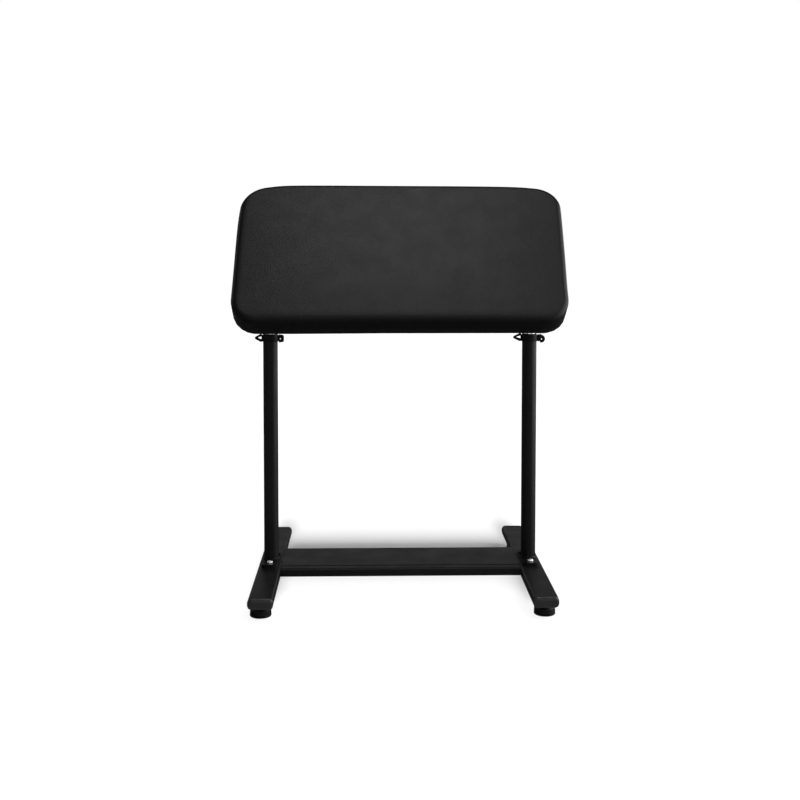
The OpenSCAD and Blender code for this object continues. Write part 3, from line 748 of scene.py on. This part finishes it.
def star_knob(name, body, side_x, sign, node):
    def lobes(a, r, z):
        if r < 0.0108:
            return r
        k = min(1.0, (r - 0.0108) / 0.006)
        return r * (1 - 0.155 * k * (0.5 - 0.5 * math.cos(6 * a)) ** 1.3)
    prof = [(0, 0.0152), (0.00652, 0.0152), (0.00652, 0.0004), (0.0069, 0.0), (0.0098, 0.0), (0.0104, 0.0006), (0.0105, 0.0012),
            (0.0105, 0.0050), (0.0112, 0.0058), (0.0135, 0.0062), (0.0160, 0.0064), (0.0176, 0.0068), (0.0187, 0.0077),
            (0.0193, 0.0091), (0.0196, 0.0110), (0.0196, 0.0150), (0.0194, 0.0172), (0.0188, 0.0189), (0.0177, 0.0201),
            (0.0160, 0.0210), (0.0140, 0.0216), (0.0122, 0.0221), (0.0106, 0.0226), (0.0098, 0.0227), (0.0094, 0.0223),
            (0.0089, 0.0223), (0.0085, 0.0228), (0.0060, 0.0233), (0.0030, 0.0235), (0, 0.0236)]
    vs, fs = place(lathe(prof, 96, lobes), TO_X)
    M = Matrix.Translation((side_x, PY, PIVOT)) @ Matrix.Scale(sign, 4, (1, 0, 0)) @ Matrix.Translation((0.0113, 0, 0))
    ob = piece(name, vs, fs, "black_plastic", body, matrix=M)
    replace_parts(ob, node)
    return recalc(ob)


star_knob("left_star_knob", "left_knob", -PX, -1, "left_tilt_knob")
star_knob("right_star_knob", "right_knob", PX, 1, "right_tilt_knob")


def cap_noses(name, sign, node):
    """The two end caps of one end of the legs: a soft nose, and the plug inside the tube."""
    parts = []
    r = 0.008
    top = [(0, 0.0058)] + line((0, 0.0058), (r - 0.0074, 0.0057), 1) + arc(r - 0.0074, 0.0010, 0.0074, 0.0047, 90, 0, 12)
    bot = [(0, 0)] + line((0, 0), (r - 0.0005, 0), 6) + line((r - 0.0005, 0), (r, 0.0010), 7)
    nose = closed_slab(0.0437, 0.0196, r, 24, 8, top, bot)[:2]
    plug_t = [(0, 0.0002), (0.0018, 0.0002), (0.0023, -0.0003), (0.0023, -0.0070)]
    plug_b = [(0, -0.0138), (0.0015, -0.0138), (0.0021, -0.0130), (0.0023, -0.0070)]
    plug = closed_slab(0.0377, 0.0147, 0.0023, 6, 3, plug_t, plug_b)[:2]
    for sx in (-1, 1):
        M = Matrix.Translation((sx * PX, sign * 0.2415, 0.032)) @ Matrix.Rotation(math.radians(-90 * sign), 4, "X")
        parts += [place(nose, M), place(plug, M)]
    vs, fs = merge(parts)
    ob = piece(name, vs, fs, "black_plastic", "base")
    ob.data.materials[0] = MATS["cap_plastic"]
    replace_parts(ob, node)
    return recalc(ob)


cap_noses("front_cap_noses", -1, "front_end_caps")
cap_noses("rear_cap_noses", 1, "rear_end_caps")


def levelling_stud(name, body, x, y, node):
    def lobes(a, r, z):
        if r > 0.006:
            flat = 0.00815 / math.cos((a % (math.pi / 3)) - math.pi / 6)
            return min(r, flat)
        return thread(0.004, 0.00125, 0.00055)(a, r, z)
    prof = [(0, 0.0102), (0.0080, 0.0102), (0.0092, 0.0109), (0.0095, 0.0118), (0.0095, 0.0132), (0.0092, 0.0140), (0.0080, 0.0146),
            (0.0062, 0.0147), (0.0036, 0.0147)]
    prof += [(0.004, z) for z in steps(0.0150, 0.0366, 0.00125)] + [(0.0033, 0.0374), (0, 0.0375)]
    vs, fs = lathe(prof, 48, lobes)
    ob = piece(name, vs, fs, "zinc_steel", body, matrix=Matrix.Translation((x, y, 0)))
    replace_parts(ob, node)
    return recalc(ob)


for fr, sy in (("front", -1), ("rear", 1)):
    for lr, sx in (("left", -1), ("right", 1)):
        levelling_stud(f"{fr}_{lr}_threaded_stud", f"{fr}_{lr}_leveller", sx * FOOT_X, sy * FOOT_Y, f"{fr}_{lr}_foot_stud")


def weld_beads():
    """Rippled fillet weld where each post stands on its plate."""
    n, m = 168, 12
    parts = []
    for sx in (-1, 1):
        vs, fs = [], []
        for i in range(n):
            a = 2 * math.pi * i / n
            k = (a * 28 / (2 * math.pi)) % 1.0
            rr = 0.0013 + 0.00018 * math.sqrt(max(0.0, 1 - (2 * k - 1) ** 2)) + 0.00012 * noise.noise(Vector((3 * math.cos(a), 3 * math.sin(a), sx)))
            for j in range(m):
                b = 2 * math.pi * j / m
                q = 0.0140 + rr * 1.05 * math.cos(b)
                vs.append(Vector((sx * PX + q * math.cos(a), PY + q * math.sin(a), PLATE_TOP + 0.0005 + rr * 1.12 * math.sin(b))))
        for i in range(n):
            for j in range(m):
                i2, j2 = (i + 1) % n, (j + 1) % m
                fs.append((i * m + j, i2 * m + j, i2 * m + j2, i * m + j2))
        parts.append((vs, fs))
    vs, fs = merge(parts)
    return recalc(piece("post_weld_beads", vs, fs, "powder_coat", "base"))


weld_beads()


# ------------------------------------------------------------------ floor and light
def floor():
    n = 60
    s = 8.0
    vs = [(s * (i / n - 0.5) * 2, s * (j / n - 0.5) * 2, 0) for i in range(n + 1) for j in range(n + 1)]
    fs = [(i * (n + 1) + j, (i + 1) * (n + 1) + j, (i + 1) * (n + 1) + j + 1, i * (n + 1) + j + 1)
          for i in range(n) for j in range(n)]
    me = bpy.data.meshes.new("floor")
    me.from_pydata(vs, [], fs)
    m = Mat("floor_pale", rough=0.8, spec=0.1)
    m.color_from(m.noise(3, 2), [(0.3, (0.86, 0.86, 0.86)), (0.7, (0.88, 0.88, 0.88))])
    me.materials.append(m.done())
    ob = bpy.data.objects.new("floor", me)
    scene.collection.objects.link(ob)
    ob.location.z = -0.0002
    ob.visible_glossy = False
    return ob


ground = floor()

# which lamps reach the floor, and what shades it
floor_only = bpy.data.collections.new("floor_only")
floor_only.objects.link(ground)
not_floor = bpy.data.collections.new("not_floor")
not_floor.objects.link(ground)
not_floor.collection_objects[0].light_linking.link_state = "EXCLUDE"
base_shade = bpy.data.collections.new("base_shade")
leg_shade = bpy.data.collections.new("leg_shade")
bar_shade = bpy.data.collections.new("bar_shade")
for n in ("crossbar", "left_leg", "right_leg", "left_base_plate", "right_base_plate"):
    base_shade.objects.link(nodes[n])
    (leg_shade if n.endswith("leg") else bar_shade).objects.link(nodes[n])


def area(name, loc, target, size_x, size_y, radiance, glossy=True, only=None, blockers=None):
    """A soft box. radiance is how bright its face is."""
    li = bpy.data.lights.new(name, "AREA")
    li.shape = "RECTANGLE"
    li.size, li.size_y = size_x, size_y
    li.energy = radiance * math.pi * size_x * size_y
    ob = bpy.data.objects.new(name, li)
    scene.collection.objects.link(ob)
    ob.location = loc
    ob.rotation_euler = (Vector(target) - Vector(loc)).to_track_quat("-Z", "Y").to_euler()
    ob.visible_camera = False
    ob.visible_glossy = glossy
    ob.light_linking.receiver_collection = only or not_floor
    if blockers is not None:
        ob.light_linking.blocker_collection = blockers
    return ob


def floor_sun(name, elevation, angle, share, shade, turn=0.0):
    """Even light for the floor alone; share is its part of the floor's brightness, from the front,
    or turned by so many degrees to the right."""
    li = bpy.data.lights.new(name, "SUN")
    li.angle = math.radians(angle)
    e, a = math.radians(elevation), math.radians(turn)
    li.energy = share * math.pi / (0.87 * math.sin(e))
    li.use_shadow = shade is not None
    ob = bpy.data.objects.new(name, li)
    scene.collection.objects.link(ob)
    ob.rotation_euler = Vector((-math.sin(a) * math.cos(e), math.cos(a) * math.cos(e), -math.sin(e))).to_track_quat("-Z", "Y").to_euler()
    ob.visible_glossy = False
    ob.light_linking.receiver_collection = floor_only
    if shade is not None:
        ob.light_linking.blocker_collection = shade
    return ob


SKY = 0.15
floor_sun("floor_even", 80, 50, 0.05, leg_shade)
floor_sun("floor_side", 55, 30, 0.10, leg_shade, turn=60)
floor_sun("floor_mid", 20, 14, 0.10, bar_shade)
floor_sun("floor_low", 9.4, 8.5, 0.42, bar_shade)
floor_sun("floor_low_2", 9.4, 8.5, 0.35, base_shade)
area("key_top", (0.05, -0.74, 2.6), (0.02, -0.05, 0.6), 0.80, 1.20, 3.42)
area("front_soft", (0.1, -4.0, 1.35), (0.0, 0.0, 0.35), 3.5, 2.0, 0.32)
area("soft_right", (2.10, -0.35, 0.42), (0.0, 0.0, 0.40), 2.3, 1.30, 1.28)
area("upper_right", (2.15, -0.60, 1.75), (0.25, 0.0, 0.60), 1.6, 1.2, 2.60)
area("strip_right", (1.90, 0.75, 0.85), (0.0, 0.0, 0.55), 0.7, 1.50, 2.00)
area("low_back_right", (2.40, 2.10, 0.70), (0.2, 0.0, 0.50), 1.4, 0.80, 1.00)
area("low_back", (0.0, 3.2, 0.40), (0.0, 0.0, 0.10), 6.0, 0.80, 0.38)
area("fill_back_left", (-2.1, 1.5, 1.5), (0, 0, 0.4), 1.2, 1.2, 0.45)
area("fill_back_right", (2.1, 1.9, 1.6), (0, 0, 0.4), 1.2, 1.2, 0.38)

# white cards that only the bare metal parts mirror
metal_only = bpy.data.collections.new("metal_only")
for ob in scene.collection.all_objects:
    if ob.type == "MESH" and ob.data.materials and ob.data.materials[0] in [MATS[k] for k in ("chrome", "zinc_steel", "head_alloy", "brass")]:
        metal_only.objects.link(ob)
area("card_front", (0.2, -3.0, 0.9), (0.0, 0.0, 0.4), 4.6, 3.6, 0.95, only=metal_only, blockers=not_floor)
area("card_top", (0.0, 0.3, 3.2), (0.0, 0.0, 0.4), 3.2, 3.2, 0.90, only=metal_only)
area("card_left", (-3.0, 0.0, 1.0), (0.0, 0.0, 0.4), 3.4, 2.6, 0.60, only=metal_only)
area("card_right", (3.0, 0.0, 1.0), (0.0, 0.0, 0.4), 3.4, 2.6, 0.80, only=metal_only)
area("card_low", (0.0, -0.8, -1.6), (0.0, 0.0, 0.2), 5.0, 5.0, 0.55, only=metal_only, blockers=not_floor)

world = bpy.data.worlds.new("studio")
scene.world = world
world.use_nodes = True
wn = world.node_tree
wn.nodes.clear()
w_out = wn.nodes.new("ShaderNodeOutputWorld")
path = wn.nodes.new("ShaderNodeLightPath")


def plain(strength):
    b = wn.nodes.new("ShaderNodeBackground")
    b.inputs["Color"].default_value = (1, 1, 1, 1)
    b.inputs["Strength"].default_value = strength
    return b


sky, dim, back = plain(SKY), plain(0.038), plain(1.0)   # lights the pieces; is mirrored in them; plain backdrop
mix1 = wn.nodes.new("ShaderNodeMixShader")
mix2 = wn.nodes.new("ShaderNodeMixShader")
wn.links.new(path.outputs["Is Glossy Ray"], mix1.inputs[0])
wn.links.new(sky.outputs[0], mix1.inputs[1])
wn.links.new(dim.outputs[0], mix1.inputs[2])
wn.links.new(path.outputs["Is Camera Ray"], mix2.inputs[0])
wn.links.new(mix1.outputs[0], mix2.inputs[1])
wn.links.new(back.outputs[0], mix2.inputs[2])
wn.links.new(mix2.outputs[0], w_out.inputs[0])

scene.view_settings.view_transform = "Standard"
scene.view_settings.look = "None"

bpy.context.view_layer.update()
